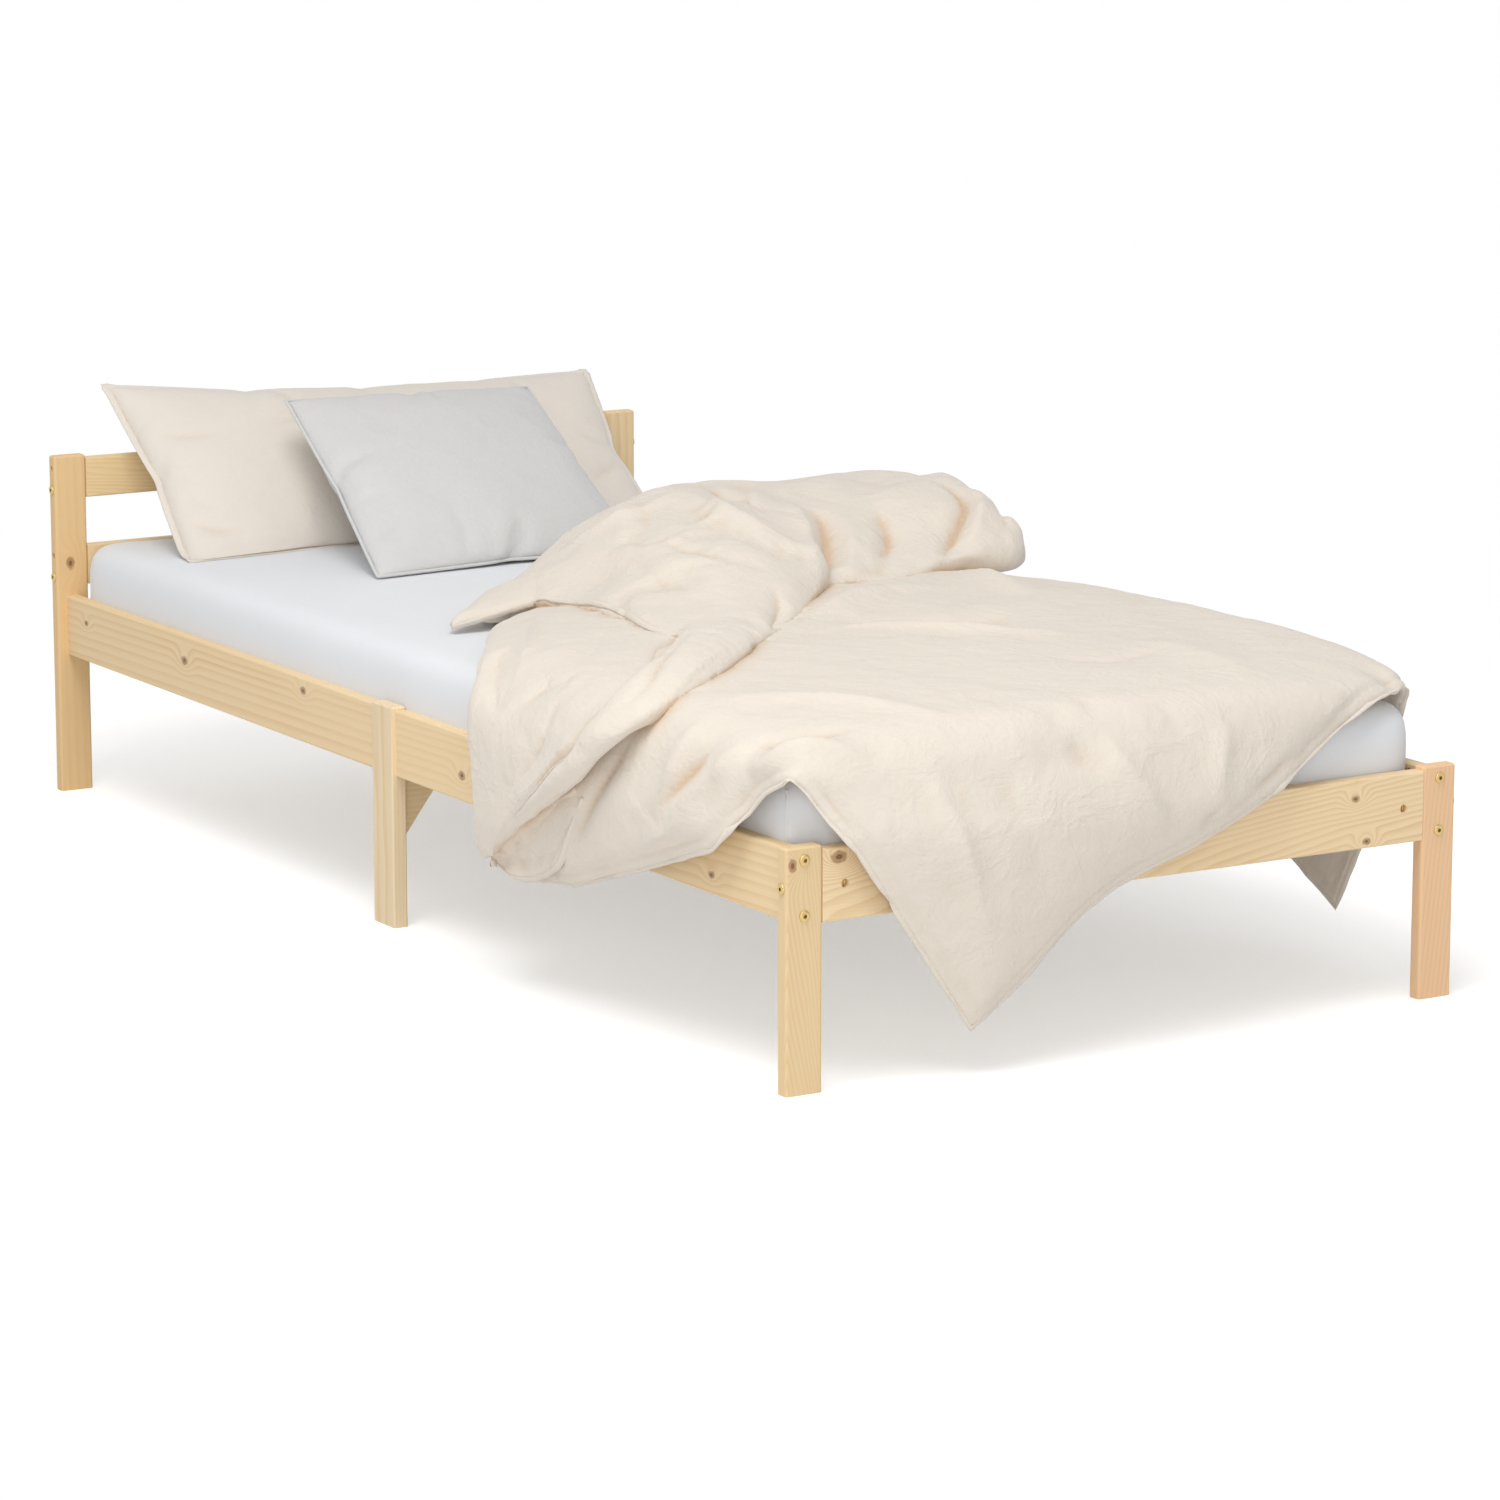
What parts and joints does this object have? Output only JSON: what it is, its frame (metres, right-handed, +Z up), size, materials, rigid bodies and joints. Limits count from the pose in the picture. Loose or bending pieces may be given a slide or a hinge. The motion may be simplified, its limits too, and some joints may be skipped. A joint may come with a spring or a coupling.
{
  "type": "single bed",
  "caption": "Low single bed of solid pine boards bolted to flat posts, with a slat base, mattress, draped duvet, pillow and cushion.",
  "frame": {"origin": "on the floor under the middle of the frame", "axes": "+X across the bed to its far side, +Y along the bed towards the headboard, +Z up"},
  "size_m": [1.0365, 2.0832, 0.5871],
  "materials": {
    "oiled_pine": "oiled pine with knots, satin",
    "rosy_pine": "pine of a rosier board, satin",
    "slat_pine": "planed pale pine, matt",
    "beech_dowel": "turned beech, matt",
    "yellow_zinc": "yellow zinc plating, satin",
    "staple_steel": "bright wire",
    "tape_webbing": "woven cotton tape",
    "mattress_cover": "knitted cover",
    "sheet_cotton": "plain white cotton",
    "pillow_cotton": "washed cream cotton",
    "cushion_linen": "pale grey linen weave",
    "duvet_cotton": "washed cream cotton"
  },
  "bodies": {
    "bed_frame": {"beam_dowels": "beech_dowel", "far_foot_ledger": "slat_pine", "far_foot_post": "rosy_pine", "far_foot_side_rail": "oiled_pine", "far_gusset": "oiled_pine", "far_head_ledger": "slat_pine", "far_head_post": "oiled_pine", "far_head_side_rail": "oiled_pine", "far_mid_leg": "oiled_pine", "far_slat_tape": "tape_webbing", "foot_rail": "oiled_pine", "foot_rail_bolts": "yellow_zinc", "foot_rail_nuts": "yellow_zinc", "gusset_dowels": "beech_dowel", "head_plank_bolts": "yellow_zinc", "head_plank_dowels": "beech_dowel", "head_plank_nuts": "yellow_zinc", "lower_head_plank": "oiled_pine", "mid_beam": "slat_pine", "mid_leg_nuts": "yellow_zinc", "mid_leg_rods": "yellow_zinc", "near_foot_ledger": "slat_pine", "near_foot_post": "oiled_pine", "near_foot_side_rail": "oiled_pine", "near_gusset": "oiled_pine", "near_head_ledger": "slat_pine", "near_head_post": "oiled_pine", "near_head_side_rail": "oiled_pine", "near_mid_leg": "oiled_pine", "near_slat_tape": "tape_webbing", "side_rail_bolts": "yellow_zinc", "side_rail_nuts": "yellow_zinc", "slat_01": "slat_pine", "slat_02": "slat_pine", "slat_03": "slat_pine", "slat_04": "slat_pine", "slat_05": "slat_pine", "slat_06": "slat_pine", "slat_07": "slat_pine", "slat_08": "slat_pine", "slat_09": "slat_pine", "slat_10": "slat_pine", "slat_11": "slat_pine", "slat_12": "slat_pine", "slat_13": "slat_pine", "tape_staples": "staple_steel", "upper_head_plank": "oiled_pine"},
    "mattress": {"mattress": "mattress_cover", "fitted_sheet": "sheet_cotton"},
    "duvet": {"duvet": "duvet_cotton"},
    "pillow": {"pillow": "pillow_cotton"},
    "cushion": {"cushion": "cushion_linen"}
  },
  "joints": [
    {"name": "mattress_lift", "type": "slide", "parent": "bed_frame", "child": "mattress", "axis": [0, 0, 1], "range_m": [0, 0.3]},
    {"name": "duvet_lift", "type": "slide", "parent": "mattress", "child": "duvet", "axis": [0, 0, 1], "range_m": [0, 0.4]},
    {"name": "pillow_lift", "type": "slide", "parent": "mattress", "child": "pillow", "axis": [0, 0, 1], "range_m": [0, 0.4]},
    {"name": "cushion_lift", "type": "slide", "parent": "pillow", "child": "cushion", "axis": [0, 0, 1], "range_m": [0, 0.35]}
  ]
}
